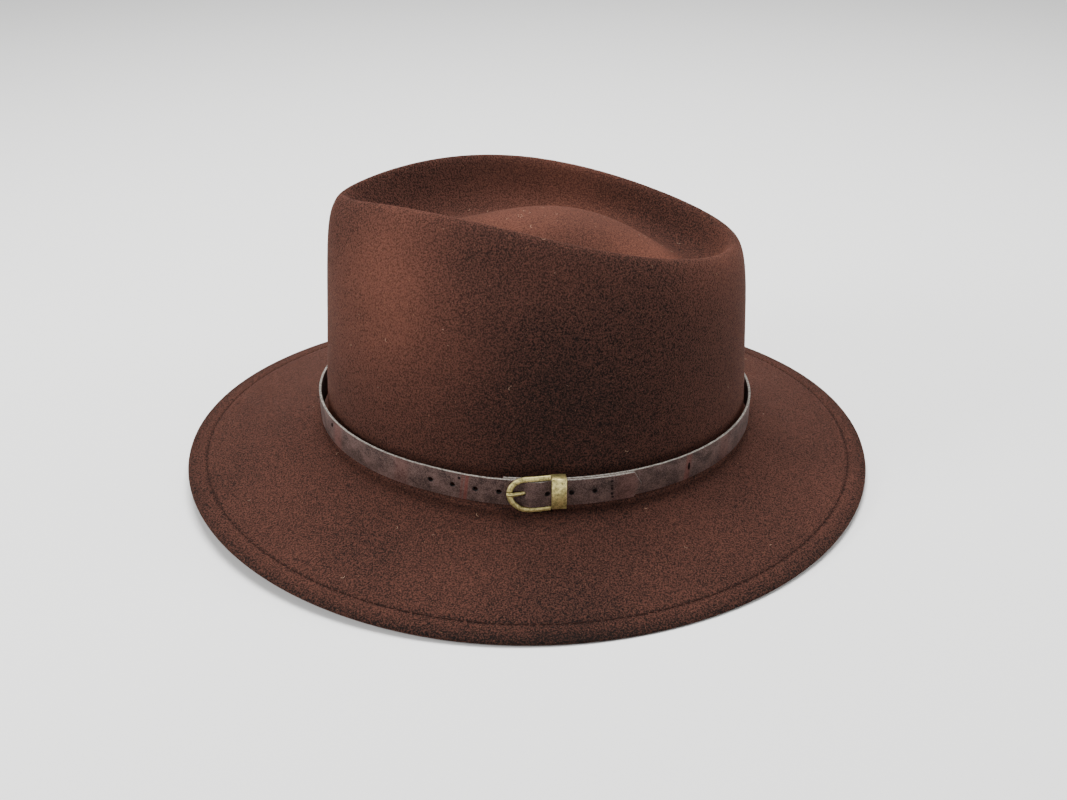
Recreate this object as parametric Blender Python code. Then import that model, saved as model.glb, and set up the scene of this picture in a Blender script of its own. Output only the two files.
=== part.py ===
"""A felt fedora with a teardrop crown, a stitched brim and a buckled leather hatband.

Metres, +Z up. The hat rests on its brim on the plane Z = 0, with the origin under the middle of the brim.
The front of the hat points to -Y, and the buckle is on the hat's left side, at +X.
"""

import math

import bmesh
import bpy
import numpy as np

MM = 0.001

# Felt body
CROWN_LENGTH = 208 * MM  # outside, front to back, at the foot of the crown
CROWN_WIDTH = 174 * MM  # outside, side to side, at the foot of the crown
CROWN_HEIGHT = 112.3 * MM  # from the brim break at the side to the front of the rim
FELT_THICKNESS = 2.0 * MM
BREAK_RISE_FRONT = 3.3 * MM  # the brim break is saddle shaped: this much higher in front
BREAK_DIP_BACK = 2.4 * MM  # and this much lower at the back than at the sides
BREAK_RADIUS = 1.8 * MM  # the bend between the crown and the brim
BRIM_FRONT = 69.5 * MM  # width of the brim in plan
BRIM_SIDE = 67.5 * MM
BRIM_BACK = 61.5 * MM
BRIM_DROP_FRONT = 14.4 * MM  # how far the brim falls from the break to its edge
BRIM_DROP_SIDE = 19.3 * MM
BRIM_DROP_BACK = 13.3 * MM
WELT_WIDTH = 10 * MM  # the edge is folded under and stitched, two layers thick
WELT_THICKNESS = 3.4 * MM
WELT_LIP = 0.9 * MM  # how far the rounded edge stands out past the fold
WELT_SLOPE = 0.6  # the welt falls this much as steeply as the brim does on the whole
FLOOR_FLAT = 1.0 * MM  # depth of brim that is pressed flat where the hat rests

# Hatband, laid round the foot of the crown and buckled over itself
GAP = 0.3 * MM  # air between neighbouring pieces
STRAP_WIDTH = 13 * MM
STRAP_THICKNESS = 1.2 * MM
STRAP_UNDER_END = -23.3 * MM  # positions along the strap, from the middle of the hat's left side
STRAP_TIP = 37.1 * MM
STRAP_TENT = 1.6 * MM  # how far the prong lifts the free end beside its hole
TENT_AT = 3.0 * MM  # and how far past the hole's middle it does so
STRAP_POINT = 3.6 * MM  # length of the pointed end
HOLE_DIAMETER = 2.0 * MM
HOLE_SPACING = 10.2 * MM
PRONG_HOLE = -14.8 * MM  # the hole that the prong is in
HOLES_IN_FRONT = 4
HOLES_BEHIND = 3
SETTLE = 34 * MM  # length over which the strap settles from the buckle down to the crown
SLACK_FRONT = 1.8 * MM  # air between the strap and the front of the crown
SLACK_SIDE = 0.9 * MM
SLACK_BACK = 0.8 * MM
SLACK_BUCKLE = 0.8 * MM  # air between the buckle's keeper and the crown

# Buckle
BUCKLE_LEFT = -21.7 * MM  # outer edge of the frame's round end
BAR_AT = -10.0 * MM
BAR_DIAMETER = 1.1 * MM
ARM_WIDTH = 2.2 * MM
ARM_THICKNESS = 1.4 * MM
ROUND_END = 8.2 * MM  # length of the frame's round end
KEEPER_LEFT = -2.9 * MM
KEEPER_WIDTH = 6.4 * MM
KEEPER_FRONT = 0.8 * MM  # thickness of the plate that shows
KEEPER_BACK = 0.5 * MM  # and of the one next to the crown
KEEPER_WALL = 0.9 * MM  # above and below the strap
KEEPER_BEVEL = 0.2 * MM
PRONG_WIDTH = 2.2 * MM
PRONG_THICKNESS = 1.2 * MM
NOTCH_DEPTH = 0.6 * MM  # the prong rests in a notch in the frame
PRONG_HOOK_START = 10.0  # degrees round the bar where the prong's hook begins

# How finely the pieces are faceted
SEGMENTS = 64
RINGS_PER_ROW = 2
STRAP_STEP = 7.2 * MM
BUCKLE_STEP = 1.6 * MM
HOLE_SIDES = 10
ROUND_END_STEPS = 15
HOOK_STEPS = 6
SMALLEST_KNOT = 0.001  # keeps the spline defined where sections meet in one point

# Sections of the crown, from the top of the dome out to the wall.
# front and back are shares of half the crown's length, side of half its width,
# lean makes a section wider at the back and point sharpens its front,
# the rises are shares of the crown's height above the break at the side,
# swell lifts the front quarter and lowers the back quarter by a share of that height,
# and saddle says how much of the break's own rise and dip the section follows.
CROWN_COLUMNS = "front back side lean point rise_front rise_side rise_back swell saddle".split()
CROWN_SECTIONS = {
    "dome_top": (0.11, 0.11, 0.00, 0.00, 0.00, 0.930, 0.930, 0.930, 0.00, 0.0),
    "dome_cap": (-0.14, 0.35, 0.16, 0.10, 0.05, 0.925, 0.910, 0.872, 0.00, 0.0),
    "dome_side": (-0.38, 0.55, 0.31, 0.20, 0.10, 0.888, 0.845, 0.762, 0.00, 0.0),
    "valley": (-0.60, 0.70, 0.45, 0.28, 0.15, 0.850, 0.780, 0.675, 0.01, 0.0),
    "inner_wall": (-0.73, 0.80, 0.56, 0.30, 0.20, 0.925, 0.850, 0.695, 0.03, 0.0),
    "rim_inside": (-0.820, 0.860, 0.613, 0.30, 0.21, 1.017, 0.977, 0.785, 0.055, 0.0),
    "rim": (-0.850, 0.888, 0.638, 0.30, 0.21, 1.035, 1.004, 0.808, 0.055, 0.0),
    "rim_outside": (-0.879, 0.920, 0.676, 0.28, 0.20, 1.017, 0.981, 0.788, 0.055, 0.0),
    "shoulder": (-0.915, 0.945, 0.745, 0.22, 0.14, 0.940, 0.866, 0.709, 0.035, 0.0),
    "wall_top": (-0.938, 0.960, 0.830, 0.10, 0.05, 0.775, 0.704, 0.587, 0.02, 0.2),
    "wall_middle": (-0.962, 0.975, 0.920, 0.00, 0.00, 0.487, 0.451, 0.361, 0.00, 0.5),
    "wall_foot": (-0.988, 0.990, 0.985, 0.00, 0.00, 0.180, 0.165, 0.150, 0.00, 1.0),
}

# Sections of the brim, as shares of its width and of its drop
BRIM_COLUMNS = "out drop".split()
BRIM_SECTIONS = {
    "brim_start": (0.12, 0.14),
    "brim_middle": (0.45, 0.55),
}

FELT_COLOUR = (0.075, 0.026, 0.015)
LEATHER_COLOUR = (0.060, 0.035, 0.032)
BRASS_COLOUR = (0.42, 0.33, 0.14)

CENTRE_Y = (BRIM_FRONT - BRIM_BACK) / 2  # the crown stands this far behind the middle of the brim
BREAK_HEIGHT = BRIM_DROP_SIDE + WELT_THICKNESS - FLOOR_FLAT
STRAP_LIFT = BREAK_RADIUS + KEEPER_WALL + 2 * GAP  # lower edge of the strap above the brim break
CUTTER_DEPTH = 3 * STRAP_THICKNESS  # the cutting tools stand out on both sides of the strap


def new_object(name, mesh, colour, roughness, metallic=0.0):
    """Links a mesh to the scene under its node's name, with a material of its own."""
    obj = bpy.data.objects.new(name, mesh)
    bpy.context.scene.collection.objects.link(obj)
    material = bpy.data.materials.new(name + "_material")
    material.use_nodes = True
    shader = material.node_tree.nodes["Principled BSDF"]
    shader.inputs["Base Color"].default_value = (*colour, 1)
    shader.inputs["Roughness"].default_value = roughness
    shader.inputs["Metallic"].default_value = metallic
    mesh.materials.append(material)
    return obj


def blend_round(turn, front, side, back, swell=0.0):
    """A value that changes from front over side to back, as turn goes from -1 over 0 to 1."""
    slope = (back - front) / 2
    curve = (front + back) / 2 - side
    return side + slope * turn + curve * turn**2 - swell * turn * (1 - turn**2)


def saddle(angle):
    """How much higher the brim break is at this angle than at the sides. Angle 0 is the front."""
    return blend_round(-np.cos(angle), BREAK_RISE_FRONT, 0.0, -BREAK_DIP_BACK)


def ring(angle, front, back, side, lean, point, height):
    """One section seen from above, as points: an oval that may lean back and come to a point in front."""
    turn = -np.cos(angle)
    x = side * np.sin(angle) * (1 + lean * turn - point * turn**2)
    y = CENTRE_Y + (front + back) / 2 + (back - front) / 2 * turn
    return np.stack([x, y, height], axis=-1)


def crown_ring(angle, row):
    """A section of the crown, from its row of shares."""
    share = dict(zip(CROWN_COLUMNS, row))
    rise = blend_round(
        -np.cos(angle), share["rise_front"], share["rise_side"], share["rise_back"], share["swell"]
    )
    height = BREAK_HEIGHT + rise * CROWN_HEIGHT + share["saddle"] * saddle(angle)
    return ring(
        angle,
        share["front"] * CROWN_LENGTH / 2,
        share["back"] * CROWN_LENGTH / 2,
        share["side"] * CROWN_WIDTH / 2,
        share["lean"],
        share["point"],
        height,
    )


def brim_ring(angle, front, side, back, drop):
    """A section of the brim at these distances out from the crown's foot, and this share of its drop."""
    fall = blend_round(-np.cos(angle), BRIM_DROP_FRONT, BRIM_DROP_SIDE, BRIM_DROP_BACK)
    height = BREAK_HEIGHT + saddle(angle) - drop * fall
    return ring(
        angle, -CROWN_LENGTH / 2 - front, CROWN_LENGTH / 2 + back, CROWN_WIDTH / 2 + side, 0, 0, height
    )


def bend_rings(angle):
    """The quarter round between the wall and the brim."""
    rings = []
    for turned in (0, 45, 90):
        out = BREAK_RADIUS * (1 - math.cos(math.radians(turned)))
        above = BREAK_RADIUS * (1 - math.sin(math.radians(turned)))
        bend = brim_ring(angle, out, out, out, 0.0)
        bend[..., 2] += above
        rings.append(bend)
    return rings


def felt_rows(angle):
    """The main sections of the hat's upper side, from the top of the dome to the edge of the brim."""
    rows = [crown_ring(angle, row) for row in CROWN_SECTIONS.values()]
    rows += bend_rings(angle)
    widths = (BRIM_FRONT, BRIM_SIDE, BRIM_BACK)
    for row in BRIM_SECTIONS.values():
        share = dict(zip(BRIM_COLUMNS, row))
        rows.append(brim_ring(angle, *(width * share["out"] for width in widths), share["drop"]))
    welt_drop = 1 - WELT_SLOPE * WELT_WIDTH / BRIM_SIDE
    rows.append(brim_ring(angle, *(width - WELT_WIDTH for width in widths), welt_drop))
    rows.append(brim_ring(angle, *(width - WELT_LIP for width in widths), 1.0))
    return np.array(rows)


def smooth_rows(rows, per_row):
    """Rings on a smooth curve through the rows, a centripetal Catmull-Rom spline along each meridian."""
    padded = np.concatenate([[2 * rows[0] - rows[1]], rows, [2 * rows[-1] - rows[-2]]])
    rings = []
    for i in range(len(rows) - 1):
        a, b, c, d = padded[i : i + 4]
        knots = [np.zeros(len(a))]
        for first, second in ((a, b), (b, c), (c, d)):
            step = np.sqrt(np.linalg.norm(second - first, axis=1))
            knots.append(knots[-1] + np.maximum(step, SMALLEST_KNOT))
        ta, tb, tc, td = (knot[:, None] for knot in knots)
        for k in range(per_row):
            t = tb + (tc - tb) * k / per_row
            ab = ((tb - t) * a + (t - ta) * b) / (tb - ta)
            bc = ((tc - t) * b + (t - tb) * c) / (tc - tb)
            cd = ((td - t) * c + (t - tc) * d) / (td - tc)
            abc = ((tc - t) * ab + (t - ta) * bc) / (tc - ta)
            bcd = ((td - t) * bc + (t - tb) * cd) / (td - tb)
            rings.append(((tc - t) * abc + (t - tb) * bcd) / (tc - tb))
    rings.append(rows[-1])
    return np.array(rings)


def sheet_normals(rings):
    """Upward and outward normals of a sheet given as rings of points."""
    along = np.gradient(rings, axis=0)
    around = np.roll(rings, -1, axis=1) - np.roll(rings, 1, axis=1)
    normals = np.cross(around, -along)
    normals[0] = (0, 0, 1)
    return normals / np.linalg.norm(normals, axis=2)[..., None]


def loft(mesh_name, rings):
    """A closed solid skinned over rings of points. The first and the last ring are single points."""
    bm = bmesh.new()
    loops = [[bm.verts.new(p) for p in points] for points in rings[1:-1]]
    top = bm.verts.new(rings[0][0])
    bottom = bm.verts.new(rings[-1][0])
    count = len(loops[0])
    for j in range(count):
        k = (j + 1) % count
        bm.faces.new((top, loops[0][j], loops[0][k]))
        bm.faces.new((bottom, loops[-1][k], loops[-1][j]))
        for upper, lower in zip(loops, loops[1:]):
            bm.faces.new((upper[j], lower[j], lower[k], upper[k]))
    return finish_mesh(bm, mesh_name)


def finish_mesh(bm, mesh_name):
    """Turns a bmesh into a mesh with its faces pointing out."""
    bmesh.ops.recalc_face_normals(bm, faces=bm.faces)
    mesh = bpy.data.meshes.new(mesh_name)
    bm.to_mesh(mesh)
    bm.free()
    return mesh


def make_felt_body():
    """Crown and brim in one piece of felt, with a folded welt at its edge, flat where it rests."""
    angle = np.arange(SEGMENTS) * 2 * math.pi / SEGMENTS
    upper = smooth_rows(felt_rows(angle), RINGS_PER_ROW)
    welt_rings = RINGS_PER_ROW + 1
    thickness = np.full(len(upper), FELT_THICKNESS)
    thickness[-welt_rings:] = WELT_THICKNESS
    thickness[-welt_rings] = (FELT_THICKNESS + WELT_THICKNESS) / 2
    lower = upper - sheet_normals(upper) * thickness[:, None, None]
    middle = (upper[-1] + lower[-1]) / 2
    outward = upper[-1] - upper[-2]
    outward[:, 2] = 0
    lip = middle + outward / np.linalg.norm(outward, axis=1)[:, None] * WELT_LIP
    rings = np.concatenate([upper, [lip], lower[::-1]])
    rings[..., 2] = np.maximum(rings[..., 2], 0)
    mesh = loft("felt_body", rings)
    mesh.shade_smooth()
    return new_object("felt_body", mesh, FELT_COLOUR, 0.95)


def foot_of_crown(angle):
    """A point on the crown's foot, and the direction straight out from it."""
    half_length = CROWN_LENGTH / 2
    half_width = CROWN_WIDTH / 2
    flat = np.zeros_like(angle)
    place_y = CENTRE_Y - half_length * np.cos(angle)
    point = np.stack([half_width * np.sin(angle), place_y, flat], axis=-1)
    out = np.stack([np.sin(angle) / half_width, -np.cos(angle) / half_length, flat], axis=-1)
    return point, out / np.linalg.norm(out, axis=-1)[..., None]


def length_round_crown(steps=1440):
    """Angles once round the crown from the middle of its left side, and the length round it to each."""
    angle = math.pi / 2 + np.linspace(0, 2 * math.pi, steps + 1)
    points, _ = foot_of_crown(angle)
    lengths = np.linalg.norm(np.diff(points, axis=0), axis=1)
    return angle, np.concatenate([[0], np.cumsum(lengths)])


ANGLES, LENGTHS = length_round_crown()
GIRTH = LENGTHS[-1]


def wrap(points):
    """Takes flat points, as along the band, up from its middle and out from the crown, round the crown."""
    along, up, out = np.asarray(points, float).T
    angle = np.interp(along % GIRTH, LENGTHS, ANGLES)
    place, outward = foot_of_crown(angle)
    place = place + outward * out[:, None]
    place[:, 2] = BREAK_HEIGHT + saddle(angle) + STRAP_LIFT + STRAP_WIDTH / 2 + up
    return place


def wrap_mesh(mesh, lay=None):
    """Bends a flat mesh round the crown. lay gives how far out each place along it lies."""
    points = np.array([v.co for v in mesh.vertices], float)
    if lay is not None:
        points[:, 2] += lay(points[:, 0])
    mesh.vertices.foreach_set("co", wrap(points).astype(np.float32).ravel())
    mesh.update()


# Levels out from the crown, each made of the thicknesses under it
KEEPER_BACK_LEVEL = SLACK_BUCKLE
UNDER_LEVEL = KEEPER_BACK_LEVEL + KEEPER_BACK + GAP
BAR_LEVEL = UNDER_LEVEL + STRAP_THICKNESS + GAP + BAR_DIAMETER / 2
OVER_LEVEL = UNDER_LEVEL + STRAP_THICKNESS + GAP
OVER_BAR_LEVEL = BAR_LEVEL + BAR_DIAMETER / 2 + GAP
FRAME_LEVEL = OVER_LEVEL + STRAP_THICKNESS + GAP + ARM_THICKNESS / 2
KEEPER_LEVEL = OVER_LEVEL + STRAP_THICKNESS + GAP
NOTCH_LEVEL = FRAME_LEVEL + ARM_THICKNESS / 2 - NOTCH_DEPTH
PRONG_LEVEL = NOTCH_LEVEL + PRONG_THICKNESS / 2 + GAP
HOOK_RADIUS = (BAR_DIAMETER + PRONG_THICKNESS) / 2 + GAP  # of the prong's middle line round the bar


def lay_of_strap(along):
    """How far out the strap's inner face lies at each place along it."""
    past_hook = BAR_AT + HOOK_RADIUS + PRONG_THICKNESS / 2 + GAP
    stations = [
        (STRAP_UNDER_END, UNDER_LEVEL),
        (STRAP_TIP + STRAP_WIDTH / 2, UNDER_LEVEL),
        (GIRTH / 4, SLACK_BACK),
        (GIRTH / 2, SLACK_SIDE),
        (GIRTH * 3 / 4, SLACK_FRONT),
        (GIRTH + STRAP_UNDER_END - STRAP_THICKNESS - SETTLE, SLACK_FRONT),
        (GIRTH + STRAP_UNDER_END - STRAP_THICKNESS, OVER_LEVEL),
        (GIRTH + PRONG_HOLE - HOLE_DIAMETER / 2, OVER_LEVEL),
        (GIRTH + PRONG_HOLE + TENT_AT, OVER_LEVEL + STRAP_TENT),
        (GIRTH + BAR_AT - BAR_DIAMETER / 2, OVER_BAR_LEVEL),
        (GIRTH + past_hook, OVER_BAR_LEVEL),
        (GIRTH + KEEPER_LEFT - GAP, OVER_LEVEL),
        (GIRTH + STRAP_TIP, OVER_LEVEL),
    ]
    places, levels = np.array(stations).T
    index = np.clip(np.searchsorted(places, along, side="right") - 1, 0, len(places) - 2)
    share = np.clip((along - places[index]) / (places[index + 1] - places[index]), 0, 1)
    eased = share * share * (3 - 2 * share)
    return levels[index] + (levels[index + 1] - levels[index]) * eased


def strap_stations():
    """Places along the strap where it has a row of points, closer together near the buckle."""
    start = STRAP_UNDER_END
    shoulder = GIRTH + STRAP_TIP - STRAP_POINT
    fine_start = KEEPER_LEFT + KEEPER_WIDTH
    fine_end = GIRTH + BUCKLE_LEFT - SETTLE / 2
    fine = np.linspace(fine_end, shoulder, round((shoulder - fine_end) / BUCKLE_STEP) + 1)
    near = np.linspace(start, fine_start, round((fine_start - start) / BUCKLE_STEP / 2) + 1)
    far = np.linspace(fine_start, fine_end, round((fine_end - fine_start) / STRAP_STEP) + 1)
    return np.concatenate([near, far[1:], fine[1:]])


def flat_strap():
    """The strap as it is cut: a long strip with one pointed end."""
    bm = bmesh.new()
    rows = []
    for along in (*strap_stations(), GIRTH + STRAP_TIP):
        row = []
        for level in (0, STRAP_THICKNESS):
            for up in (-1, 0, 1):
                at = min(along, GIRTH + STRAP_TIP - abs(up) * STRAP_POINT)
                row.append(bm.verts.new((at, up * STRAP_WIDTH / 2, level)))
        rows.append(row)
    tip = rows.pop()
    around = (0, 1, 2, 5, 4, 3)
    for row, after in zip(rows, rows[1:]):
        for i, j in zip(around, around[1:] + around[:1]):
            bm.faces.new((row[i], row[j], after[j], after[i]))
    start, end = rows[0], rows[-1]
    for i, j in ((0, 1), (1, 2)):
        bm.faces.new((start[i], start[j], start[j + 3], start[i + 3]))
    for i in (0, 2):
        bm.faces.new((end[i], end[1], tip[1]))
        bm.faces.new((end[i + 3], end[4], tip[4]))
        bm.faces.new((end[i], end[i + 3], tip[4], tip[1]))
    for i in (0, 2, 3, 5):
        bm.verts.remove(tip[i])
    return finish_mesh(bm, "hatband")


def combine(obj, tools, operation):
    """Cuts the tools out of obj, or joins them to it, for good."""
    for tool in tools:
        modifier = obj.modifiers.new(operation.lower(), "BOOLEAN")
        modifier.operation = operation
        modifier.solver = "EXACT"
        modifier.object = tool
    bpy.context.view_layer.update()
    graph = bpy.context.evaluated_depsgraph_get()
    combined = bpy.data.meshes.new_from_object(obj.evaluated_get(graph))
    obj.modifiers.clear()
    old = obj.data
    obj.data = combined
    bpy.data.meshes.remove(old)
    for tool in tools:
        bpy.data.objects.remove(tool)


def tool_from(mesh):
    obj = bpy.data.objects.new(mesh.name, mesh)
    bpy.context.scene.collection.objects.link(obj)
    return obj


def hole_cutter(along):
    """A punched round hole through the strap's free end."""
    bm = bmesh.new()
    bmesh.ops.create_cone(
        bm,
        cap_ends=True,
        segments=HOLE_SIDES,
        radius1=HOLE_DIAMETER / 2,
        radius2=HOLE_DIAMETER / 2,
        depth=CUTTER_DEPTH,
    )
    bmesh.ops.translate(bm, verts=bm.verts, vec=(along, 0, STRAP_THICKNESS / 2))
    return tool_from(finish_mesh(bm, "hole_cutter"))


def box_cutter(start, end, width, bottom, top):
    """A box from start to end along the strap, between two levels."""
    bm = bmesh.new()
    bmesh.ops.create_cube(bm, size=1)
    bmesh.ops.scale(bm, verts=bm.verts, vec=(end - start, width, top - bottom))
    bmesh.ops.translate(bm, verts=bm.verts, vec=((start + end) / 2, 0, (bottom + top) / 2))
    return tool_from(finish_mesh(bm, "box_cutter"))


def swept_mesh(name, path, normal, half_in_plane, half_across, sides=8):
    """A round-edged bar swept along a path that lies in the plane with this normal."""
    path = np.array(path, float)
    normal = np.array(normal, float)
    inward = np.cross(normal, np.gradient(path, axis=0))
    inward /= np.linalg.norm(inward, axis=1)[:, None]
    turns = np.arange(sides) * 2 * math.pi / sides
    bm = bmesh.new()
    rings = []
    for place, side in zip(path, inward):
        ring_verts = []
        for t in turns:
            offset = side * half_in_plane * math.cos(t) + normal * half_across * math.sin(t)
            ring_verts.append(bm.verts.new(place + offset))
        rings.append(ring_verts)
    bm.faces.new(rings[0])
    bm.faces.new(rings[-1])
    for ring_a, ring_b in zip(rings, rings[1:]):
        for j in range(sides):
            k = (j + 1) % sides
            bm.faces.new((ring_a[j], ring_a[k], ring_b[k], ring_b[j]))
    return finish_mesh(bm, name)


def make_buckle_frame():
    """The brass frame: a round end over the strap, two arms beside it and a bar between its layers."""
    reach = STRAP_WIDTH / 2 + GAP + ARM_WIDTH / 2
    centre = BUCKLE_LEFT + ARM_WIDTH / 2 + ROUND_END
    arm_end = KEEPER_LEFT - GAP
    upper_arm = []
    for share in np.linspace(1, 0, 4)[:-1]:
        level = FRAME_LEVEL + (BAR_LEVEL - FRAME_LEVEL) * share
        upper_arm.append((centre + (arm_end - centre) * share, reach, level))
    turns = np.linspace(math.pi / 2, math.pi * 3 / 2, ROUND_END_STEPS + 1)
    round_end = [(centre + ROUND_END * math.cos(t), reach * math.sin(t), FRAME_LEVEL) for t in turns]
    lower_arm = [(along, -up, out) for along, up, out in reversed(upper_arm)]
    path = upper_arm + round_end + lower_arm
    loop = swept_mesh("buckle_frame", path, (0, 0, 1), ARM_WIDTH / 2, ARM_THICKNESS / 2)
    obj = new_object("buckle_frame", loop, BRASS_COLOUR, 0.4, 1.0)
    radius = BAR_DIAMETER / 2
    bar_path = [(BAR_AT, up, BAR_LEVEL) for up in (-reach, 0, reach)]
    bar = swept_mesh("bar", bar_path, (0, 0, 1), radius, radius)
    combine(obj, [tool_from(bar)], "UNION")
    notch_end = BUCKLE_LEFT + ARM_WIDTH + GAP
    notch = box_cutter(BUCKLE_LEFT - ARM_WIDTH, notch_end, PRONG_WIDTH + 2 * GAP, NOTCH_LEVEL, PRONG_LEVEL)
    combine(obj, [notch], "DIFFERENCE")
    wrap_mesh(obj.data)
    obj.data.shade_smooth()
    return obj


def prong_path():
    """The prong's middle line: a hook round the inner side of the bar, then straight up to the frame."""
    hook = HOOK_RADIUS
    tip = (BUCKLE_LEFT, PRONG_LEVEL)
    rest = (BUCKLE_LEFT + ARM_WIDTH, PRONG_LEVEL)
    away = math.hypot(BAR_AT - rest[0], rest[1] - BAR_LEVEL)
    slope = math.atan2(rest[1] - BAR_LEVEL, BAR_AT - rest[0]) + math.asin(hook / away)
    leave = -90 - math.degrees(slope)
    turns = np.radians(np.linspace(PRONG_HOOK_START, leave, HOOK_STEPS + 1))
    path = [(BAR_AT + hook * math.cos(t), 0, BAR_LEVEL + hook * math.sin(t)) for t in turns]
    start = path[-1]
    for share in np.linspace(0, 1, 5)[1:]:
        along = start[0] + (rest[0] - start[0]) * share
        path.append((along, 0, start[2] + (rest[1] - start[2]) * share))
    path.append((tip[0], 0, tip[1]))
    return path


def prong_mesh(path, clearance=0.0):
    half_thickness = PRONG_THICKNESS / 2 + clearance
    return swept_mesh("buckle_prong", path, (0, 1, 0), half_thickness, PRONG_WIDTH / 2 + clearance)


def prong_cutter(path):
    """The hole that the prong fills where it comes up through the strap's free end."""
    straight = np.array(path[-6:-1]) + (GIRTH, 0, 0)
    straight[:, 2] -= lay_of_strap(straight[:, 0])
    return tool_from(prong_mesh(straight, GAP))


def make_hatband(path):
    """The leather strap: cut flat, punched, and laid round the crown and over itself."""
    obj = new_object("hatband", flat_strap(), LEATHER_COLOUR, 0.55)
    steps = [i for i in range(-HOLES_IN_FRONT, HOLES_BEHIND + 1) if i != 0]
    cutters = [hole_cutter(GIRTH + PRONG_HOLE + i * HOLE_SPACING) for i in steps]
    slot_width = PRONG_WIDTH + 2 * GAP
    under_top = UNDER_LEVEL + STRAP_THICKNESS + GAP + PRONG_THICKNESS / 2
    clear = [p[0] for p in path if p[2] < under_top]
    slot_start = min(clear) - PRONG_WIDTH
    slot_end = max(clear) + PRONG_THICKNESS / 2 + GAP
    cutters.append(box_cutter(slot_start, slot_end, slot_width, -STRAP_THICKNESS, 2 * STRAP_THICKNESS))
    cutters.append(prong_cutter(path))
    combine(obj, cutters, "DIFFERENCE")
    wrap_mesh(obj.data, lay_of_strap)
    return obj


def make_buckle_prong(path):
    mesh = prong_mesh(path)
    wrap_mesh(mesh)
    mesh.shade_smooth()
    return new_object("buckle_prong", mesh, BRASS_COLOUR, 0.4, 1.0)


def make_keeper():
    """The brass loop beside the buckle, round both layers of the strap."""
    inner = STRAP_WIDTH / 2 + GAP
    outer = inner + KEEPER_WALL
    inside = [(-inner, KEEPER_BACK_LEVEL + KEEPER_BACK), (inner, KEEPER_BACK_LEVEL + KEEPER_BACK)]
    inside += [(inner, KEEPER_LEVEL), (-inner, KEEPER_LEVEL)]
    outside = [(-outer, KEEPER_BACK_LEVEL), (outer, KEEPER_BACK_LEVEL)]
    outside += [(outer, KEEPER_LEVEL + KEEPER_FRONT), (-outer, KEEPER_LEVEL + KEEPER_FRONT)]
    bm = bmesh.new()
    ends = []
    for along in (KEEPER_LEFT, KEEPER_LEFT + KEEPER_WIDTH):
        ends.append([[bm.verts.new((along, up, out)) for up, out in loop] for loop in (outside, inside)])
    (left_out, left_in), (right_out, right_in) = ends
    for j in range(4):
        k = (j + 1) % 4
        bm.faces.new((left_out[j], left_out[k], right_out[k], right_out[j]))
        bm.faces.new((left_in[k], left_in[j], right_in[j], right_in[k]))
        bm.faces.new((left_out[k], left_out[j], left_in[j], left_in[k]))
        bm.faces.new((right_out[j], right_out[k], right_in[k], right_in[j]))
    front = KEEPER_LEVEL + KEEPER_FRONT
    rounded = [e for e in bm.edges if any(abs(v.co.z - front) < 1e-9 for v in e.verts)]
    bmesh.ops.bevel(bm, geom=rounded, offset=KEEPER_BEVEL, segments=2, affect="EDGES", profile=0.5)
    mesh = finish_mesh(bm, "keeper")
    wrap_mesh(mesh)
    return new_object("keeper", mesh, BRASS_COLOUR, 0.45, 1.0)


def main():
    for old in list(bpy.data.objects):
        bpy.data.objects.remove(old)
    make_felt_body()
    path = prong_path()
    make_hatband(path)
    make_buckle_frame()
    make_buckle_prong(path)
    make_keeper()


main()
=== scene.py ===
# %% [markdown]
# # A felt hat with a buckled leather hatband
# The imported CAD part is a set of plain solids: the felt, the strap and the three
# brass pieces of its buckle. This lesson dresses them. Each step first says what the
# thing is on a real hat, then how it could be made in Blender and why one way was taken.

# %% Load the part
import math
import random

import bpy
import numpy as np
from mathutils import Matrix, Vector


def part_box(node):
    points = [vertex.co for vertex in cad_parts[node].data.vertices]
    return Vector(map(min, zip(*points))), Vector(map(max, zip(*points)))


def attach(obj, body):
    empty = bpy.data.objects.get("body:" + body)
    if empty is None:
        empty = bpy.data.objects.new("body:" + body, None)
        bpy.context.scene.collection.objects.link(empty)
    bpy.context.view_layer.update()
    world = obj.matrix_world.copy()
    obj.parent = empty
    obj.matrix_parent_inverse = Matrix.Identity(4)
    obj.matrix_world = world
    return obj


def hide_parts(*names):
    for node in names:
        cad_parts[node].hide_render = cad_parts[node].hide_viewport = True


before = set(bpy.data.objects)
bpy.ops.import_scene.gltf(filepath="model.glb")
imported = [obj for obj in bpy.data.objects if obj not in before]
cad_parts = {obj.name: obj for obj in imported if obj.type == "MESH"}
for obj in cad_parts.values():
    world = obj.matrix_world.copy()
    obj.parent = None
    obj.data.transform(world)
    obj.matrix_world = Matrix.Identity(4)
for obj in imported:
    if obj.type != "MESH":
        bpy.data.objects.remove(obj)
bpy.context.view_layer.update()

MM = 0.001

# %% [markdown]
# ## Working on one piece at a time
# Operators act on everything that is selected, and the loader leaves the CAD nodes
# selected. So each step first takes one object: it deselects all, then selects that
# one and makes it active. A finished piece gets its finish, rides on the CAD body and
# may stand for a CAD node, which is then hidden.

# %% Helpers for taking, editing and finishing a piece
def take(*pieces):
    """Selects only these objects and makes the first one active."""
    bpy.ops.object.select_all(action="DESELECT")
    for piece in pieces:
        piece.select_set(True)
    bpy.context.view_layer.objects.active = pieces[0]


def edit(piece):
    """Opens a piece in edit mode with all of it selected."""
    take(piece)
    bpy.ops.object.mode_set(mode="EDIT")
    bpy.ops.mesh.select_all(action="SELECT")


def close_edit():
    """Goes back to object mode."""
    bpy.ops.object.mode_set(mode="OBJECT")


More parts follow.
